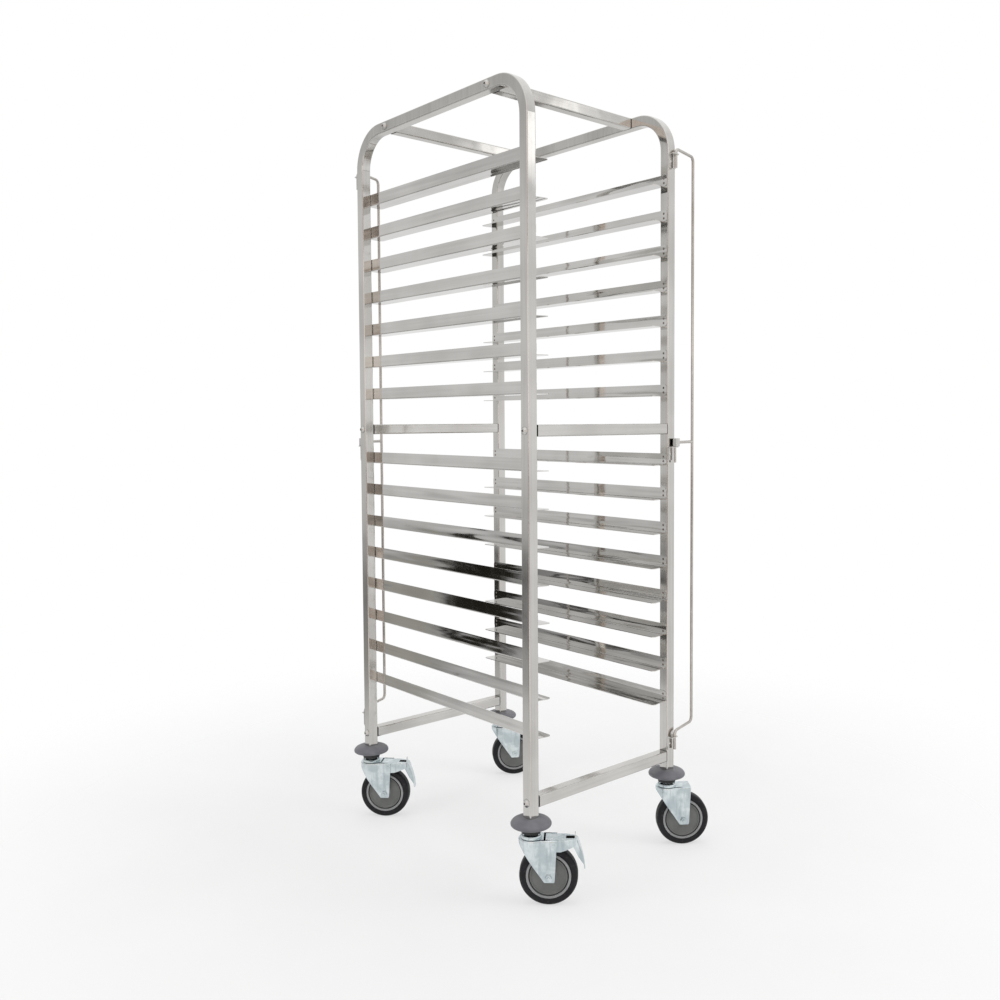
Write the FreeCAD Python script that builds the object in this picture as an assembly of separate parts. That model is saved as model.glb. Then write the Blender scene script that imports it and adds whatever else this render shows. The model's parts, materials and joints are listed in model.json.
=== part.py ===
import FreeCAD, Part
import math
import os

# Tray rack trolley for bakery sheets: two bent square tube frames, six cross tubes,
# fifteen pairs of angle runners, two swinging wire gates and four swivel castors.
# X runs across the trolley, Y along the runners (front is -Y), Z is up.
# The origin is on the floor under the middle of the frame. All sizes in millimetres.

# Frame
frame_width = 458.0
frame_depth = 656.0
frame_height = 1745.0
tube = 25.0
tube_wall = 1.5
tube_corner = 3.0
bend_radius = 85.5

# Cross tubes: two in the top rails, two at mid height and two near the floor
top_tube_inset = 130.0
mid_tube_rise = 5.0
low_tube_rise = 33.0

# Threaded inserts that close the ends of the cross tubes
insert_flange = 2.0
insert_length = 22.0
insert_gap = 0.1

# Bolts through the frame tubes into the inserts
bolt_shaft = 8.0
bolt_reach = 16.0
bolt_gap = 0.1
bolt_head = 14.0
bolt_crown = 7.0
bolt_head_height = 4.4
washer = 18.0
washer_thickness = 1.6

# Runners: angles with the upright leg on the posts and the shelf pointing inwards
tier_count = 15
upper_tier_count = 7
top_tier_drop = 183.0
lowest_tier_height = 347.0
runner_sheet = 1.5
runner_bend = 2.5
runner_rise = 28.0
runner_shelf = 42.0
runner_end_inset = 3.0
shelf_tip_inset = 6.0
shelf_root_inset = 12.0
shelf_corner = 8.0
tab_corner = 7.0

# Wire gates, one on the front right post and one on the rear left post
gate_rod = 7.0
gate_arm = 94.0
gate_bend = 12.0
gate_leg = 44.0
gate_top_drop = 95.0
gate_mid_drop = 32.0
gate_low_rise = 94.0
gate_side_inset = 8.0
gate_front_offset = 8.4
gate_front_angle = 195.0
gate_rear_angle = 205.0
gate_block_length = 20.0
gate_block_tail = 4.0
gate_block_side = 1.0
gate_block_height = 19.0
gate_block_edge = 0.8
gate_mid_leg = 5.0
gate_mid_leg_length = 38.0

# Hinge brackets of the gates
bracket_sheet = 2.0
bracket_height = 32.0
bracket_side_inset = 1.0
bracket_eye = 6.2
bracket_corner = 5.0
bracket_gap = 0.3
bracket_screw_inset = 6.5
bracket_screw_drop = 17.0
hinge_gap = 0.08
bracket_screw = 4.0
bracket_screw_head = 7.0
bracket_screw_dome = 1.8
screw_gap = 0.1

# Grey bumper discs under the posts
bumper_radius = 44.0
bumper_rim = 17.0
bumper_dome = 6.5
bumper_swell = 1.6
bumper_seat_radius = 19.0
bumper_edge = 4.0
bumper_hub_radius = 22.0
bumper_hub_foot = 16.0
bumper_hub_height = 10.0

# Plugs in the feet of the posts
plug_height = 24.0
plug_gap = 0.1

# Castor stems with nut, bearing cap and riveted foot
stem_radius = 6.0
stem_gap = 0.1
stem_top_share = 0.9
nut_flats = 19.0
nut_height = 6.0
cap_radius = 15.0
cap_rise = 5.0
cap_height = 3.0
cap_skirt_radius = 18.6
cap_skirt_height = 6.0
king_radius = 7.0
king_foot_radius = 11.0
king_foot_height = 3.0
bearing_gap = 0.3

# Castor forks
wheel_radius = 62.5
trail = 37.0
fork_sheet = 2.5
fork_bend = 4.0
fork_front = 27.0
fork_half = 22.5
fork_taper_start = 6.0
fork_taper_end = 24.0
fork_rear = 18.0
fork_toe = 10.0
fork_toe_front = 9.0
fork_toe_rear = 13.0
fork_toe_corner = 3.5
fork_skirt = 9.0
fork_skirt_corner = 4.0
fork_clearance = 18.0
race_radius = 22.8
race_height = 5.5
race_wall = 3.2
race_edge = 1.6
brake_notch_gap = 4.0

# Wheels
tyre_depth = 14.5
tyre_width = 32.0
tyre_shoulder = 7.0
tyre_seat = 26.0
core_rim_height = 3.4
core_rim_width = 29.0
core_groove_width = 2.2
core_groove_depth = 3.0
core_web_width = 27.0
core_hub_radius = 15.0
core_dish_slope = 3.4
core_dish_width = 20.0
hub_gap = 0.3
axle_radius = 4.0
axle_gap = 0.08
axle_leg_gap = 0.1
axle_flats = 13.0
axle_head_height = 5.5
axle_tail = 3.0

# Brake pedals
pedal_sheet = 2.0
pedal_bend = 2.6
pedal_side_gap = 0.4
pedal_start = 31.0
pedal_end = 94.5
pedal_top_drop = 1.0
pedal_skirt = 25.0
pedal_neck_half = 13.0
pedal_slot_start = 74.0
pedal_slot_half = 7.0
pedal_pin_place = 48.0
pedal_pin_drop = 11.5
pedal_pin_radius = 2.5
pedal_pin_gap = 0.08
pedal_pin_head = 4.0
pedal_pin_head_height = 1.2
pedal_tab_half = 5.0
pedal_tab_rise = 11.0
pedal_finger_half = 9.0
pedal_finger_corner = 5.0
pedal_root_reach = 3.5
pedal_root_bend = 5.0
pedal_knee_reach = 16.0
pedal_knee_drop = 40.0
pedal_knee_bend = 130.0
pedal_tip_reach = 19.0
pedal_tip_drop = 66.0
pedal_flange_back = 6.0
pedal_flange_root = 17.0
pedal_flange_knee = 9.0
pedal_flange_end = 9.0
pad_place = 62.0
pad_length = 9.0
pad_lift = 2.8
pad_half = 12.0

# Where the castors point at rest, measured from +X
castor_angles = {
    "front_left": -44.0,
    "rear_left": -46.0,
    "front_right": -38.0,
    "rear_right": -34.0,
}
braked_castors = ("front_left", "rear_left")

# Cuts run past the faces they open by this much
overrun = 5.0

# An edge is picked by its place within this much
pick_gap = 0.1

# Heights that follow from the sizes above, from the floor up
fork_crown_height = wheel_radius * 2 + fork_clearance
cap_place = fork_crown_height + cap_rise
nut_place = cap_place + cap_height
nut_top = nut_place + nut_height
foot_height = nut_top + bumper_hub_height + bumper_rim
low_tube_height = foot_height + low_tube_rise
top_tier_height = frame_height - top_tier_drop
tier_pitch = (top_tier_height - lowest_tier_height) / tier_count
mid_tube_height = top_tier_height - tier_pitch * upper_tier_count + mid_tube_rise
gate_top_height = frame_height - gate_top_drop
gate_mid_height = mid_tube_height - gate_mid_drop
gate_low_height = foot_height + gate_low_rise
pedal_top = fork_crown_height - pedal_top_drop
pedal_pin_height = pedal_top - pedal_pin_drop

# Radii of the wheel from the tread inwards
tyre_inner = wheel_radius - tyre_depth
core_rim_inner = tyre_inner - core_rim_height
core_groove = core_rim_inner - core_groove_width
core_dish_radius = core_groove - core_groove_depth - core_dish_slope

half_width = frame_width / 2
half_depth = frame_depth / 2
post_x = half_width - tube / 2
post_y = half_depth - tube / 2
inner_x = half_width - tube
rail_z = frame_height - tube / 2
castor_places = {
    "front_left": (-post_x, -post_y),
    "rear_left": (-post_x, post_y),
    "front_right": (post_x, -post_y),
    "rear_right": (post_x, post_y),
}

X = FreeCAD.Vector(1, 0, 0)
Y = FreeCAD.Vector(0, 1, 0)
Z = FreeCAD.Vector(0, 0, 1)
ORIGIN = FreeCAD.Vector(0, 0, 0)


def vec(x, y, z):
    return FreeCAD.Vector(x, y, z)


def moved(shape, x, y, z):
    copy = shape.copy()
    copy.translate(vec(x, y, z))
    return copy


def turned(shape, angle, axis=Z, centre=ORIGIN):
    copy = shape.copy()
    copy.rotate(centre, axis, angle)
    return copy


def mirrored_x(shape):
    return shape.mirror(ORIGIN, X)


def mirrored_y(shape):
    return shape.mirror(ORIGIN, Y)


def joined(shapes):
    """One clean solid from overlapping or touching shapes."""
    first = shapes[0]
    return first.fuse(shapes[1:]).removeSplitter() if len(shapes) > 1 else first


def save(name, solids):
    """Write the solids of one node to its own file."""
    found = []
    for solid in solids:
        found.extend(solid.Solids)
    shape = found[0] if len(found) == 1 else Part.makeCompound(found)
    shape.exportStep("parts/" + name + ".step")


def polygon(points):
    """Flat face from corner points."""
    return Part.Face(Part.makePolygon(points + [points[0]]))


def revolved(profile):
    """Solid of revolution about Z from (radius, height) corners."""
    face = polygon([vec(r, 0, z) for r, z in profile])
    return face.revolve(ORIGIN, Z, 360)


def box_between(x0, x1, y0, y1, z0, z1):
    return Part.makeBox(x1 - x0, y1 - y0, z1 - z0, vec(x0, y0, z0))


def rod(radius, start, end):
    """Round bar between two points."""
    along = end - start
    return Part.makeCylinder(radius, along.Length, start, along)


def hexagon(flats, height):
    """Hexagonal prism standing on the XY plane."""
    corner = flats / 2 / math.cos(math.pi / 6)
    turns = [math.radians(60 * step) for step in range(6)]
    points = [vec(corner * math.cos(t), corner * math.sin(t), 0) for t in turns]
    return polygon(points).extrude(Z * height)


def rounded_square(size, corner):
    """Flat rounded square in the XY plane, centred on the origin."""
    half = size / 2
    reach = half - corner
    edges = []
    for quarter in range(4):
        angle = 90.0 * quarter
        side = Part.makeLine(vec(half, -reach, 0), vec(half, reach, 0))
        arc = Part.makeCircle(corner, vec(reach, reach, 0), Z, 0, 90)
        edges.append(turned(side, angle))
        edges.append(turned(arc, angle))
    return Part.Face(Part.Wire(edges))


def cut_square(size, corner):
    """Flat square with cut corners in the XY plane, centred on the origin."""
    half = size / 2
    reach = half - corner
    points = []
    for quarter in range(4):
        for x, y in ((half, -reach), (half, reach)):
            points.append(turned_point(x, y, 90.0 * quarter))
    return polygon(points)


def turned_point(x, y, angle):
    turn = math.radians(angle)
    return vec(
        x * math.cos(turn) - y * math.sin(turn),
        x * math.sin(turn) + y * math.cos(turn),
        0,
    )


def tube_section():
    """Wall of the square tube as a flat ring."""
    inner = rounded_square(tube - tube_wall * 2, tube_corner - tube_wall)
    return rounded_square(tube, tube_corner).cut(inner)


def straight_tube(length):
    """Square tube standing on the XY plane."""
    return tube_section().extrude(Z * length)


def frame_half():
    """Front post, bend and half of the top rail of the left frame, on X = 0."""
    bend_z = rail_z - bend_radius
    post = moved(straight_tube(bend_z - foot_height), 0, -post_y, foot_height)
    section = moved(tube_section(), 0, -post_y, bend_z)
    bend = section.revolve(vec(0, bend_radius - post_y, bend_z), -X, 90)
    rail = turned(straight_tube(post_y - bend_radius), 90, X)
    rail = moved(rail, 0, 0, rail_z)
    return joined([post, bend, rail])


def bolt_places():
    """Y and Z of the six cross tubes."""
    top_y = half_depth - top_tube_inset
    places = []
    for y, z in ((top_y, rail_z), (post_y, mid_tube_height), (post_y, low_tube_height)):
        places.append((-y, z))
        places.append((y, z))
    return places


def left_frame():
    half = frame_half()
    frame = joined([half, mirrored_y(half)])
    reach = tube / 2 + overrun
    for y, z in bolt_places():
        hole = rod(bolt_shaft / 2 + bolt_gap, vec(-reach, y, z), vec(reach, y, z))
        frame = frame.cut(hole)
    return moved(frame, -post_x, 0, 0)


def cross_tube(y, z):
    length = (inner_x - insert_flange) * 2
    body = turned(straight_tube(length), 90, Y)
    return moved(body, -length / 2, y, z)


def insert(y, z):
    """Plug with a thin collar in the left end of a cross tube."""
    size = tube - tube_wall * 2 - insert_gap * 2
    collar = rounded_square(tube, tube_corner).extrude(Z * insert_flange)
    plug = cut_square(size, tube_corner - tube_wall).extrude(Z * insert_length)
    hole = Part.makeCylinder(bolt_shaft / 2, insert_length)
    body = joined([collar, plug]).cut(hole)
    body = turned(body, 90, Y)
    return moved(body, -inner_x, y, z)


def bolt(y, z):
    """Domed bolt with a washer on the outer face of the left frame."""
    head_z = tube + washer_thickness
    shaft = bolt_shaft / 2
    slope_z = head_z + bolt_head_height * 0.6
    stem = revolved([
        (0, -bolt_reach),
        (shaft, -bolt_reach),
        (shaft, head_z),
        (bolt_head / 2, head_z),
        (bolt_head / 2 * 0.9, slope_z),
        (bolt_crown / 2, head_z + bolt_head_height),
        (0, head_z + bolt_head_height),
    ])
    ring = revolved([
        (shaft + bolt_gap, tube),
        (washer / 2, tube),
        (washer / 2, head_z),
        (shaft + bolt_gap, head_z),
    ])
    out = []
    for piece in (stem, ring):
        out.append(moved(turned(piece, -90, Y), -inner_x, y, z))
    return out


def runner_profile():
    """Section of a runner: x inwards from the post, z up from its underside."""
    inner_bend = runner_bend - runner_sheet
    slope = math.sqrt(0.5)
    mid = runner_bend - runner_bend * slope
    mid_inner = runner_bend - inner_bend * slope
    top = vec(0, 0, runner_rise)
    edges = [
        Part.makeLine(top, vec(0, 0, runner_bend)),
        Part.Arc(vec(0, 0, runner_bend), vec(mid, 0, mid), vec(runner_bend, 0, 0)).toShape(),
        Part.makeLine(vec(runner_bend, 0, 0), vec(runner_shelf, 0, 0)),
        Part.makeLine(vec(runner_shelf, 0, 0), vec(runner_shelf, 0, runner_sheet)),
        Part.makeLine(vec(runner_shelf, 0, runner_sheet), vec(runner_bend, 0, runner_sheet)),
        Part.Arc(
            vec(runner_bend, 0, runner_sheet),
            vec(mid_inner, 0, mid_inner),
            vec(runner_sheet, 0, runner_bend),
        ).toShape(),
        Part.makeLine(vec(runner_sheet, 0, runner_bend), vec(runner_sheet, 0, runner_rise)),
        Part.makeLine(vec(runner_sheet, 0, runner_rise), top),
    ]
    return Part.Face(Part.Wire(edges))


def runner_end_cut():
    """What is cut away at the front end of a runner, before the slightly slanted shelf end."""
    out_x = runner_shelf + overrun
    front = -half_depth - overrun
    points = [
        vec(-overrun, front, -overrun),
        vec(out_x, front, -overrun),
        vec(out_x, shelf_tip_inset - half_depth, -overrun),
        vec(runner_shelf, shelf_tip_inset - half_depth, -overrun),
        vec(runner_bend, shelf_root_inset - half_depth, -overrun),
        vec(-overrun, shelf_root_inset - half_depth, -overrun),
    ]
    return polygon(points).extrude(Z * (overrun + runner_bend))


def left_runner():
    """Left runner with its underside at Z = 0."""
    length = (half_depth - runner_end_inset) * 2
    body = runner_profile().extrude(Y * length)
    body = moved(body, 0, -length / 2, 0)
    cut = runner_end_cut()
    body = body.cut(cut).cut(mirrored_y(cut))
    tips = []
    for edge in body.Edges:
        box = edge.BoundBox
        if box.XMin > runner_shelf - pick_gap and box.YLength < pick_gap:
            tips.append(edge)
    body = body.makeFillet(shelf_corner, tips)
    corners = []
    for edge in body.Edges:
        box = edge.BoundBox
        across = abs(box.XLength - runner_sheet) < pick_gap
        at_end = abs(abs(box.YMin) - length / 2) < pick_gap and box.YLength < pick_gap
        if across and at_end and box.ZLength < pick_gap:
            corners.append(edge)
    return body.makeFillet(tab_corner, corners)


def tier_heights():
    """Underside of each pair of runners, from the top down, with a gap at mid height."""
    heights = []
    for tier in range(tier_count):
        steps = tier if tier < upper_tier_count else tier + 1
        heights.append(top_tier_height - tier_pitch * steps)
    return heights


def bent_path(points, bends):
    """Flat path through points, rounded at each inner point."""
    edges = []
    start = points[0]
    for index, bend in enumerate(bends, 1):
        before = (points[index - 1] - points[index]).normalize()
        after = (points[index + 1] - points[index]).normalize()
        half_angle = before.getAngle(after) / 2
        back = bend / math.tan(half_angle)
        arc_in = points[index] + before * back
        arc_out = points[index] + after * back
        inward = (before + after).normalize()
        centre = points[index] + inward * (bend / math.sin(half_angle))
        middle = centre - inward * bend
        edges.append(Part.makeLine(start, arc_in))
        edges.append(Part.Arc(arc_in, middle, arc_out).toShape())
        start = arc_out
    edges.append(Part.makeLine(start, points[-1]))
    return Part.Wire(edges)


def gate():
    """Wire gate with its hinge axis on Z and its arms along -X."""
    radius = gate_rod / 2
    low_leg_z = gate_low_height - gate_leg
    points = [
        vec(0, 0, gate_top_height - gate_leg),
        vec(0, 0, gate_top_height),
        vec(-gate_arm, 0, gate_top_height),
        vec(-gate_arm, 0, gate_low_height),
        vec(0, 0, gate_low_height),
        vec(0, 0, low_leg_z),
    ]
    path = bent_path(points, [gate_bend] * (len(points) - 2))
    section = Part.Wire(Part.makeCircle(radius, points[0], Z))
    frame = path.makePipeShell([section], True, False)
    arm = rod(radius, vec(-gate_arm, 0, gate_mid_height), vec(0, 0, gate_mid_height))
    return joined([frame, arm])


def gate_hinge_block():
    """Block round the end of the middle arm, with its hanging hinge pin."""
    half = gate_rod / 2 + gate_block_side
    far = gate_block_tail - gate_block_length
    base = gate_mid_height - gate_block_height / 2
    block = box_between(far, gate_block_tail, -half, half, base, base + gate_block_height)
    block = block.makeChamfer(gate_block_edge, block.Edges)
    seat = rod(gate_rod / 2, vec(-gate_arm, 0, gate_mid_height), vec(0, 0, gate_mid_height))
    pin_start = vec(0, 0, base + gate_block_edge)
    pin = rod(gate_mid_leg / 2, pin_start, vec(0, 0, base - gate_mid_leg_length))
    return joined([block, pin]).cut(seat)


def gate_axis():
    """X and Y of the hinge axis of the front gate."""
    return half_width - gate_side_inset, -half_depth - gate_front_offset


def bracket_sides():
    """Left and right edge of the brackets on the front of the right post."""
    return half_width - tube + bracket_side_inset, half_width - bracket_side_inset


def eye(top_z, pin_radius):
    """Level hinge plate of a bracket with its eye, its upper face at top_z."""
    x, y = gate_axis()
    left, right = bracket_sides()
    base = top_z - bracket_sheet
    front = y - bracket_eye
    plate = box_between(left, right, front, -half_depth, base, top_z)
    corners = []
    for edge in plate.Edges:
        box = edge.BoundBox
        if box.ZLength > bracket_sheet / 2 and box.YMax < front + pick_gap:
            corners.append(edge)
    plate = plate.makeFillet(bracket_corner, corners)
    return plate.cut(Part.makeCylinder(pin_radius + hinge_gap, bracket_sheet, vec(x, y, base)))


def bracket(top_z, pin_radius):
    """Angle bracket on the front face of the right post: a back plate and a hinge plate."""
    left, right = bracket_sides()
    low_z = top_z - bracket_height
    back = box_between(left, right, -half_depth - bracket_sheet, -half_depth, low_z, top_z)
    body = joined([back, eye(top_z, pin_radius)])
    x, z = bracket_screw_place(top_z)
    hole = rod(
        bracket_screw / 2 + screw_gap,
        vec(x, -half_depth - bracket_sheet - overrun, z),
        vec(x, -half_depth, z),
    )
    return body.cut(hole)


def bracket_screw_place(top_z):
    """X and Z of the screw in a bracket."""
    return half_width - tube + bracket_screw_inset, top_z - bracket_screw_drop


def bracket_screw_solid(top_z):
    """Domed screw that holds a bracket on the post."""
    x, z = bracket_screw_place(top_z)
    radius = bracket_screw / 2
    head = bracket_screw_head / 2
    body = revolved([
        (0, -tube_wall * 3),
        (radius, -tube_wall * 3),
        (radius, bracket_sheet),
        (head, bracket_sheet),
        (head * 0.75, bracket_sheet + bracket_screw_dome * 0.75),
        (0, bracket_sheet + bracket_screw_dome),
    ])
    return moved(turned(body, 90, X), x, -half_depth, z)


def bracket_tops():
    """Upper face of each bracket and the radius of the hinge pin in it."""
    rest = gate_bend + bracket_gap
    block_foot = gate_mid_height - gate_block_height / 2
    return (
        (gate_top_height - rest, gate_rod / 2),
        (block_foot - bracket_gap, gate_mid_leg / 2),
        (gate_low_height - rest, gate_rod / 2),
    )


def screw_pilots():
    """Holes for the bracket screws in the wall of the front right post."""
    pilots = []
    for top_z, _ in bracket_tops():
        x, z = bracket_screw_place(top_z)
        start = vec(x, -half_depth - overrun, z)
        end = vec(x, -half_depth + tube / 2, z)
        pilots.append(rod(bracket_screw / 2 + screw_gap, start, end))
    return pilots


def bumper():
    """Domed bumper disc with a conical hub under it, its top at the post foot."""
    bore = stem_radius + stem_gap
    low = -bumper_rim
    hub_low = low - bumper_hub_height
    shoulder = bumper_radius - bumper_edge
    dome_start = vec(bumper_seat_radius, 0, 0)
    dome_end = vec(shoulder, 0, -bumper_dome)
    dome_middle = (dome_start + dome_end) / 2 + Z * bumper_swell
    outline = [
        dome_end,
        vec(bumper_radius, 0, -bumper_dome - bumper_edge),
        vec(bumper_radius, 0, low + bumper_edge / 2),
        vec(shoulder, 0, low),
        vec(bumper_hub_radius, 0, low),
        vec(bumper_hub_foot, 0, hub_low),
        vec(bore, 0, hub_low),
        vec(bore, 0, 0),
        dome_start,
    ]
    edges = [Part.Arc(dome_start, dome_middle, dome_end).toShape()]
    edges += [Part.makeLine(a, b) for a, b in zip(outline, outline[1:])]
    body = Part.Face(Part.Wire(edges)).revolve(ORIGIN, Z, 360)
    return moved(body, 0, 0, foot_height)


def post_plug():
    """Square plug in the foot of a post that grips the castor stem."""
    size = tube - tube_wall * 2 - plug_gap * 2
    body = cut_square(size, tube_corner - tube_wall).extrude(Z * plug_height)
    body = body.cut(Part.makeCylinder(stem_radius + stem_gap, plug_height))
    return moved(body, 0, 0, foot_height)


def stem():
    """Threaded stem, nut, bearing cap and kingpin with its riveted foot, in one piece."""
    crown_low = fork_crown_height - fork_sheet
    foot_z = crown_low - bearing_gap
    skirt_z = fork_crown_height + bearing_gap
    post_end = foot_height + plug_height * stem_top_share
    body = revolved([
        (0, foot_z - king_foot_height),
        (king_foot_radius * 0.8, foot_z - king_foot_height),
        (king_foot_radius, foot_z),
        (king_radius, foot_z),
        (king_radius, skirt_z),
        (cap_skirt_radius, skirt_z),
        (cap_skirt_radius, skirt_z + cap_skirt_height / 2),
        (cap_radius, cap_place),
        (cap_radius, nut_place),
        (stem_radius, nut_place),
        (stem_radius, post_end),
        (0, post_end),
    ])
    nut = moved(hexagon(nut_flats, nut_height), 0, 0, nut_place)
    return joined([body, nut])


def fork_outline(inset, rear):
    """Plan of the fork: round in front, straight sides behind. The wheel trails to +X."""
    radius = fork_front - inset
    half = fork_half - inset
    side = math.sqrt(radius * radius - fork_taper_start * fork_taper_start)
    arc = Part.Arc(
        vec(fork_taper_start, -side, 0),
        vec(-radius, 0, 0),
        vec(fork_taper_start, side, 0),
    ).toShape()
    edges = [
        arc,
        Part.makeLine(vec(fork_taper_start, side, 0), vec(fork_taper_end, half, 0)),
        Part.makeLine(vec(fork_taper_end, half, 0), vec(rear, half, 0)),
        Part.makeLine(vec(rear, half, 0), vec(rear, -half, 0)),
        Part.makeLine(vec(rear, -half, 0), vec(fork_taper_end, -half, 0)),
        Part.makeLine(vec(fork_taper_end, -half, 0), vec(fork_taper_start, -side, 0)),
    ]
    return Part.Face(Part.Wire(Part.__sortEdges__(edges)))


def fork_body(inset, rear, height, bend):
    """Solid of the fork's plan with its upper edges rounded, but for the open rear end."""
    body = fork_outline(inset, rear).extrude(Z * height)
    edges = []
    for edge in body.Edges:
        box = edge.BoundBox
        if abs(box.ZMin - height) < pick_gap and box.XMin < rear - pick_gap:
            edges.append(edge)
    return body.makeFillet(bend, edges)


def fork_side():
    """Side outline of the fork: crown, sloping front edge and blunt toe at the axle."""
    low = wheel_radius - fork_toe
    points = [
        vec(-fork_front, 0, fork_crown_height),
        vec(-fork_front, 0, fork_crown_height - fork_skirt),
        vec(trail - fork_toe_front, 0, low),
        vec(trail + fork_toe_rear, 0, low),
        vec(trail + fork_rear, 0, fork_crown_height),
    ]
    path = bent_path(points, [fork_skirt_corner, fork_toe_corner, fork_toe_corner])
    face = Part.Face(Part.Wire(path.Edges + [Part.makeLine(points[-1], points[0])]))
    return moved(face, 0, -fork_front, 0).extrude(Y * (fork_front * 2))


def race():
    """Raised ball race ring on the crown of the fork."""
    top = fork_crown_height + race_height
    inner = race_radius - race_wall
    return revolved([
        (inner, fork_crown_height),
        (race_radius, fork_crown_height),
        (race_radius, top - race_edge * 1.5),
        (race_radius - race_edge, top),
        (inner, top),
    ])


def fork(braked):
    """Stamped fork with the kingpin on Z and the wheel trailing to +X."""
    rear = trail + fork_rear
    shell = fork_body(0, rear, fork_crown_height, fork_bend)
    room = fork_body(
        fork_sheet, rear + overrun, fork_crown_height - fork_sheet, fork_bend - fork_sheet,
    )
    body = shell.cut(room).common(fork_side())
    if braked:
        inside = fork_half - fork_sheet
        notch = box_between(
            pedal_start - brake_notch_gap, rear + overrun, -inside, inside,
            fork_crown_height - fork_skirt, fork_crown_height + overrun,
        )
        body = body.cut(notch)
        body = body.cut(side_rod(pedal_pin_radius + pin_seat_gap(), fork_half + overrun,
                                 pedal_pin_place, pedal_pin_height))
    body = joined([body, race()])
    bore = Part.makeCylinder(king_radius + bearing_gap, frame_height)
    axle = side_rod(axle_radius + axle_leg_gap, fork_half + overrun, trail, wheel_radius)
    return body.cut(bore).cut(axle)


def pin_seat_gap():
    return axle_leg_gap


def side_rod(radius, half, x, z):
    """Round bar across the fork."""
    return rod(radius, vec(x, -half, z), vec(x, half, z))


def axle():
    """Hexagon bolt with its nut through the fork and the wheel."""
    shaft_end = fork_half + axle_head_height + axle_tail
    shaft = Part.makeCylinder(axle_radius, fork_half + shaft_end, vec(0, 0, -fork_half))
    head = moved(hexagon(axle_flats, axle_head_height), 0, 0, -fork_half - axle_head_height)
    nut = moved(hexagon(axle_flats, axle_head_height), 0, 0, fork_half)
    body = joined([shaft, head, nut])
    return moved(turned(body, 90, X), trail, 0, wheel_radius)


def on_axle(profile):
    """Solid of revolution about the axle from (radius, side) corners."""
    return moved(turned(revolved(profile), 90, X), trail, 0, wheel_radius)


def tyre():
    half = tyre_width / 2
    seat = tyre_seat / 2
    side_in = wheel_radius - tyre_shoulder
    mid_in = wheel_radius - tyre_shoulder * 0.3
    near = half - tyre_shoulder * 0.3
    crown = half - tyre_shoulder
    return on_axle([
        (tyre_inner, -seat),
        (side_in, -half),
        (mid_in, -near),
        (wheel_radius, -crown),
        (wheel_radius, crown),
        (mid_in, near),
        (side_in, half),
        (tyre_inner, seat),
    ])


def wheel_core():
    """Wheel disc with a raised rim ring, a groove, a dished web and a hub."""
    rim = core_rim_width / 2
    floor = core_web_width / 2 - core_groove_depth
    web = core_web_width / 2
    dish = core_dish_width / 2
    hub = fork_half - fork_sheet - hub_gap
    bore = axle_radius + axle_gap
    outline = [
        (bore, hub),
        (core_hub_radius, hub),
        (core_hub_radius, dish),
        (core_dish_radius, dish),
        (core_groove - core_groove_depth, web),
        (core_groove, web),
        (core_groove, floor),
        (core_rim_inner, floor),
        (core_rim_inner, rim),
        (tyre_inner, rim),
    ]
    other = [(r, -side) for r, side in reversed(outline)]
    return on_axle(outline + other)


def pedal_finger():
    """Foot finger of the brake pedal: the top sheet bent down behind the wheel."""
    middle_z = pedal_top - pedal_sheet / 2
    start = vec(pedal_end - pedal_sheet, 0, middle_z)
    points = [
        start,
        vec(pedal_end + pedal_root_reach, 0, middle_z),
        vec(pedal_end + pedal_knee_reach, 0, pedal_top - pedal_knee_drop),
        vec(pedal_end + pedal_tip_reach, 0, pedal_top - pedal_tip_drop),
    ]
    path = bent_path(points, [pedal_root_bend, pedal_knee_bend])
    low = pedal_top - pedal_sheet
    half = pedal_finger_half
    section = Part.makePolygon([
        vec(start.x, -half, low),
        vec(start.x, half, low),
        vec(start.x, half, pedal_top),
        vec(start.x, -half, pedal_top),
        vec(start.x, -half, low),
    ])
    finger = path.makePipeShell([section], True, False)
    tip = []
    for edge in finger.Edges:
        box = edge.BoundBox
        flat = box.ZMax < pedal_top - pedal_tip_drop + pedal_sheet
        if flat and box.YLength < pick_gap and abs(edge.Length - pedal_sheet) < pick_gap:
            tip.append(edge)
    return finger.makeFillet(pedal_finger_corner, tip)


def finger_flanges():
    """Side flanges of the foot finger, deep at its root and gone above its tip."""
    inside = pedal_sheet / 2
    top = pedal_top - inside
    root_x = pedal_end + pedal_root_reach - pedal_sheet
    knee_x = pedal_end + pedal_knee_reach - inside
    knee_z = pedal_top - pedal_knee_drop
    end_x = pedal_end + pedal_tip_reach - inside
    end_z = pedal_top - pedal_tip_drop + pedal_flange_end
    sides = []
    for y in (-pedal_finger_half, pedal_finger_half - pedal_sheet):
        face = polygon([
            vec(pedal_end - pedal_flange_back, y, top),
            vec(root_x, y, top),
            vec(knee_x, y, knee_z),
            vec(end_x, y, end_z),
            vec(knee_x - pedal_flange_knee, y, knee_z),
            vec(pedal_end - pedal_flange_back, y, pedal_top - pedal_flange_root),
        ])
        sides.append(face.extrude(Y * pedal_sheet))
    return sides


def pedal_plan(inset):
    """Plan of the pedal's channel, narrower towards the finger and too long at both ends."""
    half = fork_half - fork_sheet - pedal_side_gap - inset
    neck = pedal_neck_half - inset
    sides = [
        (pedal_start - overrun, half),
        (pedal_slot_start, half),
        (pedal_end, neck),
        (pedal_end + overrun, neck),
    ]
    points = [vec(x, y, 0) for x, y in sides]
    points += [vec(x, -y, 0) for x, y in reversed(sides)]
    return polygon(points)


def pedal_block(inset, top, bend):
    """Solid over the pedal's plan with its two long upper edges rounded."""
    body = pedal_plan(inset).extrude(Z * top)
    edges = []
    for edge in body.Edges:
        box = edge.BoundBox
        if abs(box.ZMin - top) < pick_gap and box.XLength > pick_gap:
            edges.append(edge)
    return body.makeFillet(bend, edges)


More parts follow.
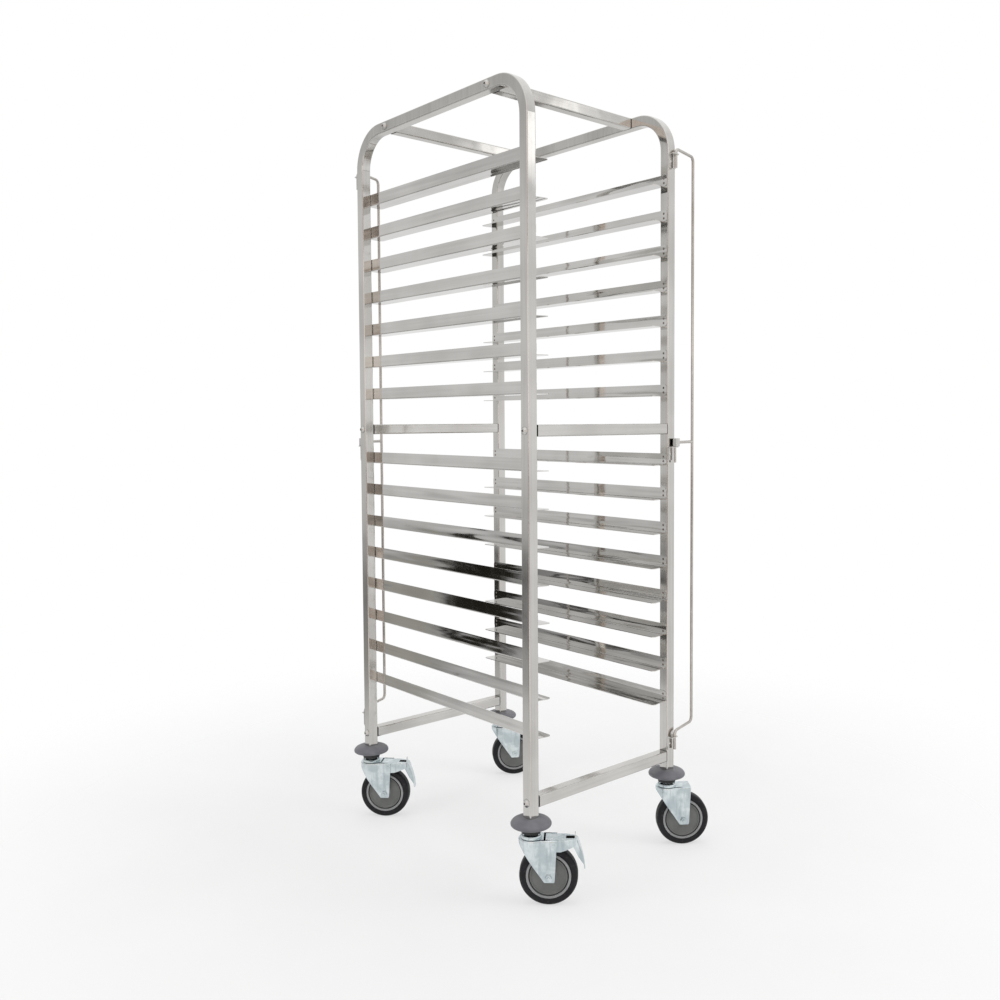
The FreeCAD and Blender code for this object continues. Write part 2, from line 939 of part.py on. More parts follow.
def pedal_channel():
    """Folded top and skirts of the pedal over the tyre."""
    low = pedal_top - pedal_skirt
    middle = (pedal_start + pedal_end) / 2
    shell = pedal_block(0, pedal_top, pedal_bend)
    room = pedal_block(pedal_sheet, pedal_top - pedal_sheet, pedal_bend - pedal_sheet)
    slope = polygon([
        vec(middle, -fork_half, low - overrun),
        vec(pedal_end + overrun, -fork_half, low - overrun),
        vec(pedal_end + overrun, -fork_half, low + pedal_skirt / 2),
        vec(middle, -fork_half, low),
    ]).extrude(Y * (fork_half * 2))
    keep = box_between(pedal_start, pedal_end, -fork_half, fork_half, low, pedal_top)
    return shell.cut(room).common(keep).cut(slope)


def pedal_tab():
    """Tongue bent up at the end of the slot."""
    x = pedal_end - pedal_sheet
    low = pedal_top - pedal_sheet
    high = pedal_top + pedal_tab_rise
    return polygon([
        vec(x, -pedal_tab_half, low),
        vec(x, pedal_tab_half, low),
        vec(x, pedal_tab_half / 2, high),
        vec(x, -pedal_tab_half / 2, high),
    ]).extrude(X * pedal_sheet)


def pedal():
    """Brake pedal: channel over the tyre, slot, upright tab, foot finger and brake pad."""
    slot = box_between(
        pedal_slot_start, pedal_end - pedal_sheet, -pedal_slot_half, pedal_slot_half,
        pedal_top - pedal_skirt, pedal_top,
    )
    pad = box_between(
        pad_place - pad_length / 2, pad_place + pad_length / 2, -pad_half, pad_half,
        pad_seat_height() + pad_lift, pedal_top - pedal_sheet,
    )
    pieces = [pedal_channel().cut(slot), pedal_tab(), pedal_finger(), pad]
    body = joined(pieces + finger_flanges())
    pin = side_rod(pedal_pin_radius + pedal_pin_gap, fork_half, pedal_pin_place, pedal_pin_height)
    return body.cut(pin)


def pad_seat_height():
    """Height of the tread under the brake pad."""
    away = pad_place + pad_length / 2 - trail
    near = pad_place - pad_length / 2 - trail
    reach = min(abs(away), abs(near))
    return wheel_radius + math.sqrt(wheel_radius * wheel_radius - reach * reach)


def pedal_pin():
    """Riveted pin of the brake pedal across the fork."""
    shaft = side_rod(pedal_pin_radius, fork_half, pedal_pin_place, pedal_pin_height)
    heads = []
    for sign in (-1, 1):
        start = vec(pedal_pin_place, fork_half * sign, pedal_pin_height)
        end = vec(pedal_pin_place, (fork_half + pedal_pin_head_height) * sign, pedal_pin_height)
        heads.append(rod(pedal_pin_head, start, end))
    return joined([shaft] + heads)


def placed_castor(name, shape):
    """Turn a castor piece to its rest angle and put it under its post."""
    x, y = castor_places[name]
    return moved(turned(shape, castor_angles[name]), x, y, 0)


def build_frame():
    left = left_frame()
    right = mirrored_x(left)
    for pilot in screw_pilots():
        right = right.cut(pilot)
    rear_pilots = [turned(pilot, 180) for pilot in screw_pilots()]
    for pilot in rear_pilots:
        left = left.cut(pilot)
    save("frame_left", [left])
    save("frame_right", [right])
    names = ("top", "mid", "low")
    places = bolt_places()
    inserts = []
    bolts = []
    for index, (y, z) in enumerate(places):
        side = "front" if y < 0 else "rear"
        save("cross_tube_" + names[index // 2] + "_" + side, [cross_tube(y, z)])
        left_insert = insert(y, z)
        inserts += [left_insert, mirrored_x(left_insert)]
        for piece in bolt(y, z):
            bolts += [piece, mirrored_x(piece)]
    save("cross_tube_inserts", inserts)
    save("cross_tube_bolts", bolts)


def build_runners():
    runner = left_runner()
    for tier, height in enumerate(tier_heights()):
        left = moved(runner, -inner_x, 0, height)
        save("runner_pair_%02d" % (tier + 1), [left, mirrored_x(left)])


def build_gates():
    x, y = gate_axis()
    for name, angle in (("front", gate_front_angle), ("rear", gate_rear_angle)):
        frame = turned(gate(), angle)
        block = turned(gate_hinge_block(), angle)
        if name == "front":
            place = (x, y)
        else:
            place = (-x, -y)
        save("gate_" + name, [moved(frame, place[0], place[1], 0)])
        save("gate_block_" + name, [moved(block, place[0], place[1], 0)])
    brackets = [bracket(top_z, radius) for top_z, radius in bracket_tops()]
    screws = [bracket_screw_solid(top_z) for top_z, _ in bracket_tops()]
    save("gate_brackets", brackets + [turned(piece, 180) for piece in brackets])
    save("gate_bracket_screws", screws + [turned(piece, 180) for piece in screws])


def build_castors():
    plugs = []
    for name in castor_places:
        braked = name in braked_castors
        plugs.append(placed_castor(name, turned(post_plug(), -castor_angles[name])))
        save("bumper_" + name, [placed_castor(name, bumper())])
        save("stem_" + name, [placed_castor(name, stem())])
        save("fork_" + name, [placed_castor(name, fork(braked))])
        save("axle_" + name, [placed_castor(name, axle())])
        save("tyre_" + name, [placed_castor(name, tyre())])
        save("wheel_core_" + name, [placed_castor(name, wheel_core())])
        if braked:
            save("brake_pedal_" + name, [placed_castor(name, pedal())])
            save("brake_pin_" + name, [placed_castor(name, pedal_pin())])
    save("post_plugs", plugs)


def main():
    os.makedirs("parts", exist_ok=True)
    build_frame()
    build_runners()
    build_gates()
    build_castors()


main()
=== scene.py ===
import json
import math

import bmesh
import bpy
from mathutils import Matrix, Vector


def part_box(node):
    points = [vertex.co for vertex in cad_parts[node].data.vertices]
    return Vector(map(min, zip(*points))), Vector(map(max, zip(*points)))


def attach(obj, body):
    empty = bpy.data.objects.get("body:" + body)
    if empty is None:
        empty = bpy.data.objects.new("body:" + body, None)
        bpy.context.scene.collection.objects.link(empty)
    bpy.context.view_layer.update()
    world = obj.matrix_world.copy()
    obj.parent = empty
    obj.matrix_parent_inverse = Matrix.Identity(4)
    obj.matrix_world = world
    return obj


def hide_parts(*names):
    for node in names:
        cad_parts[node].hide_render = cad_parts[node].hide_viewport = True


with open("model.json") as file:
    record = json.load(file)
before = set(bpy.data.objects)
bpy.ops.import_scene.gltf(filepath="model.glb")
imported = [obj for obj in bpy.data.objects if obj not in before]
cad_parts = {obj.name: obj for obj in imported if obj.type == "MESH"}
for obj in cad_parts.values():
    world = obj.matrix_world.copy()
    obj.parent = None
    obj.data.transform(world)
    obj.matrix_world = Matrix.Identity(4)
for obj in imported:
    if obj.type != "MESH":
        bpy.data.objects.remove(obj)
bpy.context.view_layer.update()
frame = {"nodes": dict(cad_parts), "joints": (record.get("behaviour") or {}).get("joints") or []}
CASTORS = ("front_left", "rear_left", "front_right", "rear_right")
BRAKED = ("front_left", "rear_left")
TIERS = 15
JOINTS = {joint["name"]: joint for joint in frame["joints"]}
UP = Vector((0, 0, 1))

# Sides of the round meshes, and steps in their rounded corners
LATHE_SIDES = 96
CORNER_STEPS = 5
CORE_CORNER_STEPS = 3
BOLT_SIDES = 36
WELD_SIDES = 16

# The camera that was fitted to the photograph: place in metres, turn in degrees, lens in mm
CAMERA_PLACE = (-1.5424, -1.8475, 1.0216)
CAMERA_TURN = (87.098, 0.2408, -42.026)
CAMERA_LENS = 35.176
CAMERA_SHIFT = (-0.0486, -0.0303)
CAMERA_SENSOR = 36.0
CAMERA_REACH = (0.05, 50.0)

# Ways from the trolley into the studio that the metal mirrors. The two that start with ALONG
# run level past the side and the window, and place the shapes there.
SIDE_WAY = (-0.67, 0.74, 0.0)
FRONT_WAY = (0.67, -0.74, 0.1)
ROOM_WAY = (-0.67, -0.74, 0.05)
WINDOW_WAY = (0.66, -0.75, 0.28)
ALONG_SIDE = (-0.783, -0.623, 0.0)
ALONG_WINDOW = (0.754, 0.657, 0.0)

# Grey levels of the studio over height, 0 straight below and 1 straight above.
# They are half of what shows, because the strength of that background is 2.
METAL_STRENGTH = 2.0
OPEN_LEVELS = [(0.0, 0.30), (0.35, 0.40), (0.5, 0.46), (0.65, 0.46), (1.0, 0.60)]
SIDE_LEVELS = [(0.0, 0.24), (0.34, 0.29), (0.37, 0.24), (0.39, 0.19), (0.41, 0.15), (0.425, 0.17),
               (0.445, 0.30), (0.465, 0.37), (0.5, 0.385), (0.6, 0.395), (0.64, 0.31), (0.8, 0.36)]
FRONT_LEVELS = [(0.0, 0.38), (0.33, 0.41), (0.45, 0.47), (0.5, 0.49), (0.6, 0.46), (0.635, 0.40),
                (0.68, 0.42), (0.75, 0.47), (0.9, 0.47), (1.0, 0.5)]
# How much of the room's columns is bright at each height
COLUMN_LEVELS = [(0.36, 0.62), (0.385, 0.61), (0.405, 0.52), (0.42, 0.44), (0.48, 0.44), (0.50, 0.58),
                 (0.52, 0.65), (0.575, 0.66), (0.588, 0.48), (0.61, 0.48), (0.63, 0.60)]

# Strength of the even light on whatever isn't mirrored
PLAIN_STRENGTH = 0.62

# Floor: radius and fade in metres, and the share of its own glow
FLOOR_RADIUS = 2.0
FLOOR_SEGMENTS = 64
FLOOR_FADE = (0.55, 1.9)
FLOOR_GLOW = 0.6


# Node helpers

def rgb(red, green, blue):
    return (red, green, blue, 1.0)


class Graph:
    """A short way to write the nodes of a material or of the world."""

    def __init__(self, tree):
        self.tree = tree
        tree.nodes.clear()

    def add(self, kind, settings=None, **inputs):
        """One node. Inputs are values or other nodes' sockets, named by their labels or as in_0."""
        node = self.tree.nodes.new("ShaderNode" + kind)
        for key, value in (settings or {}).items():
            setattr(node, key, value)
        for key, value in inputs.items():
            name = key.replace("_", " ")
            if name.startswith("in "):
                socket = node.inputs[int(name[3:])]
            else:
                socket = node.inputs[name]
            if isinstance(value, bpy.types.NodeSocket):
                self.tree.links.new(value, socket)
            else:
                socket.default_value = value
        return node

    def coordinates(self, kind):
        return self.add("TexCoord").outputs[kind]

    def math(self, operation, first, second):
        return self.add("Math", {"operation": operation}, in_0=first, in_1=second).outputs[0]

    def product(self, *values):
        result = values[0]
        for value in values[1:]:
            result = self.math("MULTIPLY", result, value)
        return result

    def dot(self, vector, way):
        settings = {"operation": "DOT_PRODUCT"}
        return self.add("VectorMath", settings, in_0=vector, in_1=way).outputs["Value"]

    def spread(self, value, low, high, to_low=0.0, to_high=1.0):
        """Value between low and high turned into a smooth step."""
        node = self.add("MapRange", {"interpolation_type": "SMOOTHSTEP"}, in_0=value,
                        in_1=low, in_2=high, in_3=to_low, in_4=to_high)
        return node.outputs[0]

    def between(self, value, low, high, soft):
        """1 between low and high, with soft ends inside them."""
        return self.product(self.spread(value, low, low + soft), self.spread(value, high, high - soft))

    def mix(self, share, first, second):
        """Colour that goes from the first to the second with the share."""
        node = self.add("Mix", {"data_type": "RGBA"}, in_0=share, in_6=first, in_7=second)
        return node.outputs[2]

    def blended(self, share, first, second):
        """Shader that goes from the first to the second with the share."""
        return self.add("MixShader", None, in_0=share, in_1=first.outputs[0], in_2=second.outputs[0])

    def noise(self, vector, scale=1.0, detail=2.0, roughness=0.5, distortion=0.0):
        node = self.add("TexNoise", None, Vector=vector, Scale=scale, Detail=detail,
                        Roughness=roughness, Distortion=distortion)
        return node.outputs[0]

    def stretched(self, vector, scale):
        return self.add("Mapping", None, Vector=vector, Scale=scale).outputs[0]

    def ramp(self, value, stops):
        """Colour read off from (place, grey level) stops."""
        node = self.add("ValToRGB", None, Fac=value)
        elements = node.color_ramp.elements
        elements[0].position, elements[1].position = stops[0][0], stops[-1][0]
        for place, _ in stops[1:-1]:
            elements.new(place)
        for element, (_, level) in zip(elements, stops):
            element.color = rgb(level, level, level)
        return node.outputs[0]

    def bump(self, height, strength, distance, **normal):
        """Normal bent by a height, on top of another normal where one is given."""
        node = self.add("Bump", None, Strength=strength, Distance=distance, Height=height, **normal)
        return node.outputs[0]

    def finish(self, shader, kind="OutputMaterial"):
        self.tree.links.new(shader.outputs[0], self.add(kind).inputs[0])


def material(name):
    made = bpy.data.materials.new(name)
    made.use_nodes = True
    return made, Graph(made.node_tree)


# Finishes

def steel(name, low, high, roughness, stretch, wave, grain, ripple=(9, 9, 9)):
    """Polished stainless: long waves that bend reflections, fine lines along the metal, smears.

    low and high are its colours, stretch and ripple the noise scales of the lines and the waves,
    and grain and wave their heights in metres.
    """
    made, graph = material(name)
    place = graph.coordinates("Object")
    cloud = graph.noise(place, scale=7.0, detail=3.0)
    lines = graph.noise(graph.stretched(place, stretch), detail=4.0, roughness=0.6)
    smear = graph.noise(place, scale=28.0, detail=4.0, roughness=0.6, distortion=0.4)
    waves = graph.noise(graph.stretched(place, ripple), detail=1.0)
    tone = graph.math("ADD", graph.product(cloud, 0.6), graph.product(lines, 0.4))
    colour = graph.mix(graph.spread(tone, 0.32, 0.68), low, high)
    gloss = graph.spread(smear, 0.35, 0.75, roughness * 0.7, roughness * 1.5)
    bend = graph.bump(waves, strength=1.0, distance=wave)
    fine = graph.bump(lines, strength=0.35, distance=grain, Normal=bend)
    graph.finish(graph.add("BsdfPrincipled", None, Base_Color=colour, Metallic=1.0,
                           Roughness=gloss, Normal=fine))
    return made


def zinc(name):
    """Bright zinc plate: bluish, cloudy, upright drain streaks, tiny pits, a faint yellow cast."""
    made, graph = material(name)
    place = graph.coordinates("Object")
    cloud = graph.noise(place, scale=35.0, detail=4.0, roughness=0.55)
    cast = graph.noise(place, scale=12.0)
    pits = graph.noise(place, scale=900.0)
    streak = graph.noise(graph.stretched(place, (130, 130, 14)), detail=3.0, roughness=0.55)
    dull, bright = rgb(0.51, 0.58, 0.605), rgb(0.74, 0.80, 0.815)
    drained, yellow = rgb(0.36, 0.42, 0.45), rgb(0.74, 0.72, 0.60)
    colour = graph.mix(graph.spread(cloud, 0.38, 0.68), dull, bright)
    colour = graph.mix(graph.spread(streak, 0.5, 0.68, 0.0, 0.42), colour, drained)
    colour = graph.mix(graph.spread(cast, 0.55, 0.8, 0.0, 0.35), colour, yellow)
    gloss = graph.spread(cloud, 0.3, 0.75, 0.12, 0.24)
    soft = graph.bump(cloud, strength=0.8, distance=0.0006)
    fine = graph.bump(pits, strength=0.25, distance=0.00005, Normal=soft)
    graph.finish(graph.add("BsdfPrincipled", None, Base_Color=colour, Metallic=1.0,
                           Roughness=gloss, Normal=fine))
    return made


def moulded(name, low, high, roughness, grain_scale, grain, specular=0.4):
    """Moulded plastic or rubber with a fine skin and faint handling marks."""
    made, graph = material(name)
    place = graph.coordinates("Object")
    cloud = graph.noise(place, scale=22.0, detail=3.0)
    dust = graph.noise(place, scale=160.0, detail=3.0, roughness=0.7)
    skin = graph.noise(place, scale=grain_scale)
    colour = graph.mix(graph.spread(cloud, 0.3, 0.7), low, high)
    colour = graph.mix(graph.spread(dust, 0.56, 0.8, 0.0, 0.2), colour, rgb(0.36, 0.35, 0.33))
    gloss = graph.spread(dust, 0.3, 0.8, roughness - 0.06, roughness + 0.1)
    fine = graph.bump(skin, strength=0.5, distance=grain)
    graph.finish(graph.add("BsdfPrincipled", None, Base_Color=colour, Roughness=gloss,
                           Specular_IOR_Level=specular, Normal=fine))
    return made


WARM_LOW = rgb(0.52, 0.505, 0.48)
WARM_HIGH = rgb(0.64, 0.625, 0.60)
TUBE_Z = steel("stainless_tube_upright", WARM_LOW, WARM_HIGH, 0.09,
               (160, 160, 3), 0.0012, 0.00004, (8, 8, 8))
TUBE_X = steel("stainless_tube_cross", WARM_LOW, WARM_HIGH, 0.09,
               (3, 160, 160), 0.0012, 0.00004, (8, 8, 8))
SHEET = steel("stainless_sheet", rgb(0.56, 0.55, 0.53), rgb(0.68, 0.67, 0.65), 0.045,
              (160, 3, 160), 0.0006, 0.00001, (45, 4, 45))
WIRE = steel("stainless_wire", rgb(0.44, 0.41, 0.38), rgb(0.58, 0.55, 0.52), 0.17,
             (90, 90, 90), 0.0004, 0.00003)
FITTING = steel("stainless_fitting", rgb(0.50, 0.485, 0.46), rgb(0.66, 0.65, 0.63), 0.2,
                (120, 120, 120), 0.0004, 0.00005)
WELD = steel("stainless_weld", rgb(0.16, 0.14, 0.12), rgb(0.34, 0.30, 0.27), 0.34,
             (300, 300, 300), 0.0002, 0.00008)
ZINC = zinc("bright_zinc")
# Near-black painted shade for the inner and downward faces of the pedal's channel
PEDAL_SHADE = moulded("pedal_inside_painted_shade", rgb(0.012, 0.012, 0.013), rgb(0.035, 0.035, 0.036), 0.5,
                 900.0, 0.00005)
BUMPER = moulded("bumper_grey", rgb(0.165, 0.165, 0.185), rgb(0.225, 0.225, 0.245), 0.5,
                 2600.0, 0.00005)
# Black of the plastic inserts, post plugs and bumper hubs; the same near-black is painted shade in the
# wheel cores' groove and in the bolts' sockets
BLACK_PARTS_AND_SHADE = moulded("black_parts_and_painted_shade", rgb(0.018, 0.018, 0.019), rgb(0.03, 0.03, 0.032), 0.45,
                    2600.0, 0.00004)
TYRE = moulded("tyre_rubber", rgb(0.008, 0.008, 0.010), rgb(0.017, 0.017, 0.020), 0.52,
               1500.0, 0.00008, 0.25)
CORE = moulded("wheel_grey", rgb(0.17, 0.175, 0.165), rgb(0.215, 0.22, 0.21), 0.48,
               2200.0, 0.00005)
RING = moulded("wheel_ring_light", rgb(0.34, 0.34, 0.345), rgb(0.42, 0.42, 0.425), 0.4,
               2200.0, 0.00004)

# A CAD node's finish, by the start of its name; the first that fits counts
FINISHES = {
    "frame_": TUBE_Z,
    "cross_tube_inserts": BLACK_PARTS_AND_SHADE,
    "cross_tube_": TUBE_X,
    "runner_": SHEET,
    "gate_bracket": FITTING,
    "gate_block": FITTING,
    "gate_": WIRE,
    "post_plugs": BLACK_PARTS_AND_SHADE,
    "bumper_": BUMPER,
    "stem_": ZINC,
    "fork_": ZINC,
    "axle_": ZINC,
    "brake_": ZINC,
    "tyre_": TYRE,
    "wheel_core_": CORE,
}


# Mesh helpers

def rounded(points, radii, steps):
    """The open outline of (radius, height) points with each corner rounded by its own size."""
    most = 0.49
    out = [Vector(points[0])]
    for index in range(1, len(points) - 1):
        here = Vector(points[index])
        size = radii[index]
        if size <= 0:
            out.append(here)
            continue
        back = Vector(points[index - 1]) - here
        ahead = Vector(points[index + 1]) - here
        size = min(size, back.length * most, ahead.length * most)
        start = here + back.normalized() * size
        end = here + ahead.normalized() * size
        for step in range(steps + 1):
            t = step / steps
            out.append(start * (1 - t) ** 2 + here * (2 * t * (1 - t)) + end * t ** 2)
    out.append(Vector(points[-1]))
    return out


def both_sides(points, sizes):
    """A wheel's outline and corner sizes, continued as a mirror image below its middle plane."""
    other = [(radius, -height) for radius, height in reversed(points)]
    return points + other, sizes + sizes[::-1]


def turns(sides):
    """Angle of each corner of a ring."""
    return [2 * math.pi * side / sides for side in range(sides)]


def circle(mesh, place, radius, height, sides):
    """Ring of vertices round the place's Z axis."""
    points = [(radius * math.cos(turn), radius * math.sin(turn), height) for turn in turns(sides)]
    return [mesh.verts.new(place @ Vector(point)) for point in points]


def bridged(mesh, low, high, smooth=True):
    """Faces between two rings."""
    faces = []
    for side in range(len(low)):
        after = (side + 1) % len(low)
        face = mesh.faces.new((low[side], low[after], high[after], high[side]))
        face.smooth = smooth
        faces.append(face)
    return faces


def lathe(name, outline, paint=None):
    """Closed mesh of revolution about Z; paint gives a strip's material slot from its two points."""
    mesh = bmesh.new()
    rings = [circle(mesh, Matrix(), radius, height, LATHE_SIDES) for radius, height in outline]
    for low, high in zip(rings, rings[1:] + rings[:1]):
        for face in bridged(mesh, low, high):
            if paint:
                face.material_index = paint(low[0].co, high[0].co)
    mesh.normal_update()
    bmesh.ops.recalc_face_normals(mesh, faces=mesh.faces)
    return finished(name, mesh)


def finished(name, mesh):
    """Object from the mesh, linked into the scene."""
    data = bpy.data.meshes.new(name)
    mesh.to_mesh(data)
    mesh.free()
    made = bpy.data.objects.new(name, data)
    bpy.context.scene.collection.objects.link(made)
    return made


def evened(obj):
    """Shading that keeps flat faces flat beside small rounded edges."""
    modifier = obj.modifiers.new("even_normals", "WEIGHTED_NORMAL")
    modifier.keep_sharp = True
    return obj


def dressed(obj, slot, body, *materials):
    """Give a new piece its materials and the body that carries it; the slot argument is not used."""
    for made in materials:
        obj.data.materials.append(made)
    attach(obj, body)


def joint_place(name):
    return Vector(JOINTS[name]["pos_m"])


def joint_axis(name):
    return Vector(JOINTS[name]["axis"]).normalized()


# Finish of CAD nodes

def paint_nodes():
    """Give every CAD node its own finish."""
    for name, node in frame["nodes"].items():
        finish = next(made for start, made in FINISHES.items() if name.startswith(start))
        for place in node.material_slots:
            place.material = finish


def paint_pedal(castor):
    """Painted shade: near-black on the inner and downward faces of the pedal's channel, which show
    through its slot.
    """
    channel_reach = 0.045
    turned = -0.5
    node = frame["nodes"]["brake_pedal_" + castor]
    node.data.materials.append(PEDAL_SHADE)
    shade_index = len(node.data.materials) - 1
    pin = joint_place("brake_" + castor)
    across = joint_axis("brake_" + castor)
    forward = across.cross(UP)
    for face in node.data.polygons:
        place = face.center - pin
        inward = face.normal.dot(across) * math.copysign(1, place.dot(across)) < turned
        if (inward or face.normal.z < turned) and place.dot(forward) < channel_reach:
            face.material_index = shade_index


# Wheels and bumpers

def wheel_matrix(castor):
    """From the wheel's own frame, with its axle on Z, to the row frame."""
    axis = joint_axis("roll_" + castor)
    forward = axis.cross(UP).normalized()
    turn = Matrix((forward, axis.cross(forward), axis)).transposed().to_4x4()
    return Matrix.Translation(joint_place("roll_" + castor)) @ turn


def build_tyre(castor):
    """Tyre with a flat tread and round shoulders."""
    bore, shoulder, slope, tread = 0.0481, 0.0556, 0.0604, 0.0625
    bead, half, flat = 0.0131, 0.016, 0.009
    points = [(bore, 0), (bore, bead), (shoulder, half), (slope, half * 0.86), (tread, flat)]
    sizes = [0, 0.0006, 0.004, 0.004, 0.006]
    outline = rounded(*both_sides(points, sizes), CORNER_STEPS)
    tyre = evened(lathe("tyre_" + castor + "_round", outline[:-1]))
    tyre.matrix_world = wheel_matrix(castor)
    dressed(tyre, "tyre", "wheel_" + castor, TYRE)
    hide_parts("tyre_" + castor)


def build_core(castor):
    """Disc with a light rim ring, a groove in near-black as painted shade, a shallow dish and the hub.
    """
    hub, web, dish, groove = 0.0197, 0.0135, 0.0112, 0.0106
    groove_start, ring_start = 0.0403, 0.0429
    points = [
        (0.0041, hub - 0.0006), (0.0075, hub), (0.0105, hub - 0.0002), (0.0128, hub - 0.0014),
        (0.0148, dish + 0.0022), (0.0172, dish), (0.0358, dish), (0.0384, web), (0.0402, web),
        (0.0404, groove), (0.0428, groove), (0.0430, 0.0145), (0.0479, 0.0142),
    ]
    sizes = [0, 0.0008, 0.0008, 0.001, 0.0015, 0.002, 0.0015, 0.0009, 0.0005,
             0.0002, 0.0002, 0.0006, 0.0006]

    def paint(low, high):
        radius = max(low.xy.length, high.xy.length)
        if radius > ring_start:
            return 1
        # Slot 2, the groove, is near-black as painted shade
        return 2 if radius > groove_start else 0

    outline = rounded(*both_sides(points, sizes), CORE_CORNER_STEPS)
    core = evened(lathe("wheel_core_" + castor + "_turned", outline, paint))
    core.matrix_world = wheel_matrix(castor)
    dressed(core, "wheel_grey", "wheel_" + castor, CORE, RING, BLACK_PARTS_AND_SHADE)
    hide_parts("wheel_core_" + castor)


def build_bumper(castor):
    """Domed disc with a soft rim and a dark hub below it whose skirt hides the nut of the stem."""
    low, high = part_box("bumper_" + castor)
    bore, hub, nut_room = 0.0062, 0.0222, 0.0122
    skirt = 0.0050
    under = -0.0170
    base = low.z - high.z
    foot = base - skirt
    points = [
        (bore, 0), (0.0190, 0), (0.0300, -0.0018), (0.0402, -0.0062), (0.0440, -0.0112),
        (0.0434, -0.0158), (0.0395, under), (hub, under), (0.0208, foot), (nut_room, foot),
        (nut_room, base), (bore, base),
    ]
    sizes = [0, 0.006, 0.008, 0.006, 0.004, 0.003, 0.003, 0.0006, 0.0015, 0.0004, 0.0004, 0]

    def paint(first, second):
        inside = max(first.xy.length, second.xy.length) < hub + 0.0004
        return 1 if inside and max(first.z, second.z) < under + 0.0002 else 0

    bumper = evened(lathe("bumper_" + castor + "_soft", rounded(points, sizes, CORNER_STEPS), paint))
    bumper.matrix_world = Matrix.Translation(((low.x + high.x) / 2, (low.y + high.y) / 2, high.z))
    dressed(bumper, "bumper_grey", "frame", BUMPER, BLACK_PARTS_AND_SHADE)
    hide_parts("bumper_" + castor)


# Bolts and spot welds

def button_head(mesh, place):
    """Domed bolt head with a six-sided socket, on a washer; place turns +Z to the outside."""
    washer, washer_height, washer_edge = 0.009, 0.0016, 0.0003
    foot, radius, height, collar = 0.0072, 0.007, 0.0044, 0.3
    socket, socket_floor = 0.0025, 0.35
    rim = socket * 1.25
    dome_steps = 5
    outline = [
        (washer, 0.0), (washer, washer_height - washer_edge), (washer - washer_edge, washer_height),
        (foot, washer_height), (radius, washer_height + height * collar),
    ]
    for step in range(1, dome_steps + 1):
        t = step / dome_steps
        rise = collar + (1 - collar) * math.sin(t * math.pi / 2)
        outline.append((radius + (rim - radius) * t, washer_height + height * rise))
    rings = [circle(mesh, place, r, z, BOLT_SIDES) for r, z in outline]
    for low, high in zip(rings, rings[1:]):
        bridged(mesh, low, high)
    sixth = math.pi / 3
    hexagons = []
    for depth in (washer_height + height, washer_height + height * socket_floor):
        ring = []
        for turn in turns(BOLT_SIDES):
            reach = socket * math.cos(sixth / 2) / math.cos(turn % sixth - sixth / 2)
            point = Vector((reach * math.cos(turn), reach * math.sin(turn), depth))
            ring.append(mesh.verts.new(place @ point))
        hexagons.append(ring)
    bridged(mesh, rings[-1], hexagons[0], smooth=False)
    bridged(mesh, hexagons[0], hexagons[1], smooth=False)
    # The socket's floor takes the second slot, near-black as painted shade
    mesh.faces.new(hexagons[1]).material_index = 1


def side_turn(x, y, z):
    """Matrix at a point on a side face whose +Z points away from the middle plane."""
    turn = Matrix.Rotation(math.radians(90 if x > 0 else -90), 4, "Y")
    return Matrix.Translation((x, y, z)) @ turn


def build_bolts():
    """A bolt head on the outer face of both frames at each end of every cross tube."""
    mesh = bmesh.new()
    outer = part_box("frame_right")[1].x
    for level in ("top", "mid", "low"):
        for end in ("front", "rear"):
            low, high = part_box("cross_tube_" + level + "_" + end)
            middle = (low + high) / 2
            for sign in (-1, 1):
                button_head(mesh, side_turn(outer * sign, middle.y, middle.z))
    bolts = finished("cross_tube_bolts_domed", mesh)
    dressed(bolts, "stainless", "frame", FITTING, BLACK_PARTS_AND_SHADE)
    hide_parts("cross_tube_bolts")


def spot_weld(mesh, place):
    """Shallow dimple with a low rim, as a resistance weld leaves it."""
    outline = [(0.0027, 0.00002), (0.0022, 0.00022), (0.0017, 0.00018), (0.0011, 0.00004)]
    rings = [circle(mesh, place, r, z, WELD_SIDES) for r, z in outline]
    for low, high in zip(rings, rings[1:]):
        bridged(mesh, low, high)
    mesh.faces.new(rings[-1])


def build_spot_welds():
    """Two welds at each end of each runner, on the inner face of its upright leg."""
    leg, weld_lift, weld_step = 0.0015, 0.001, 0.0053
    mesh = bmesh.new()
    low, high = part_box("cross_tube_mid_front")
    post_y = (low.y + high.y) / 2
    for tier in range(1, TIERS + 1):
        low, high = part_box("runner_pair_%02d" % tier)
        middle = (low.z + high.z) / 2 + weld_lift
        face = high.x - leg
        for sign in (-1, 1):
            for y in (post_y, -post_y):
                for rise in (-weld_step, weld_step):
                    place = side_turn(-face * sign, y, middle + rise)
                    place.translation.x = face * sign
                    spot_weld(mesh, place)
    dressed(finished("spot_welds", mesh), "stainless", "frame", WELD)


# Light, floor, camera

def lobe(graph, direction, way, near, far):
    """1 inside a cone round a way, falling to 0; near and far are cosines."""
    return graph.spread(graph.dot(direction, tuple(Vector(way).normalized())), far, near)


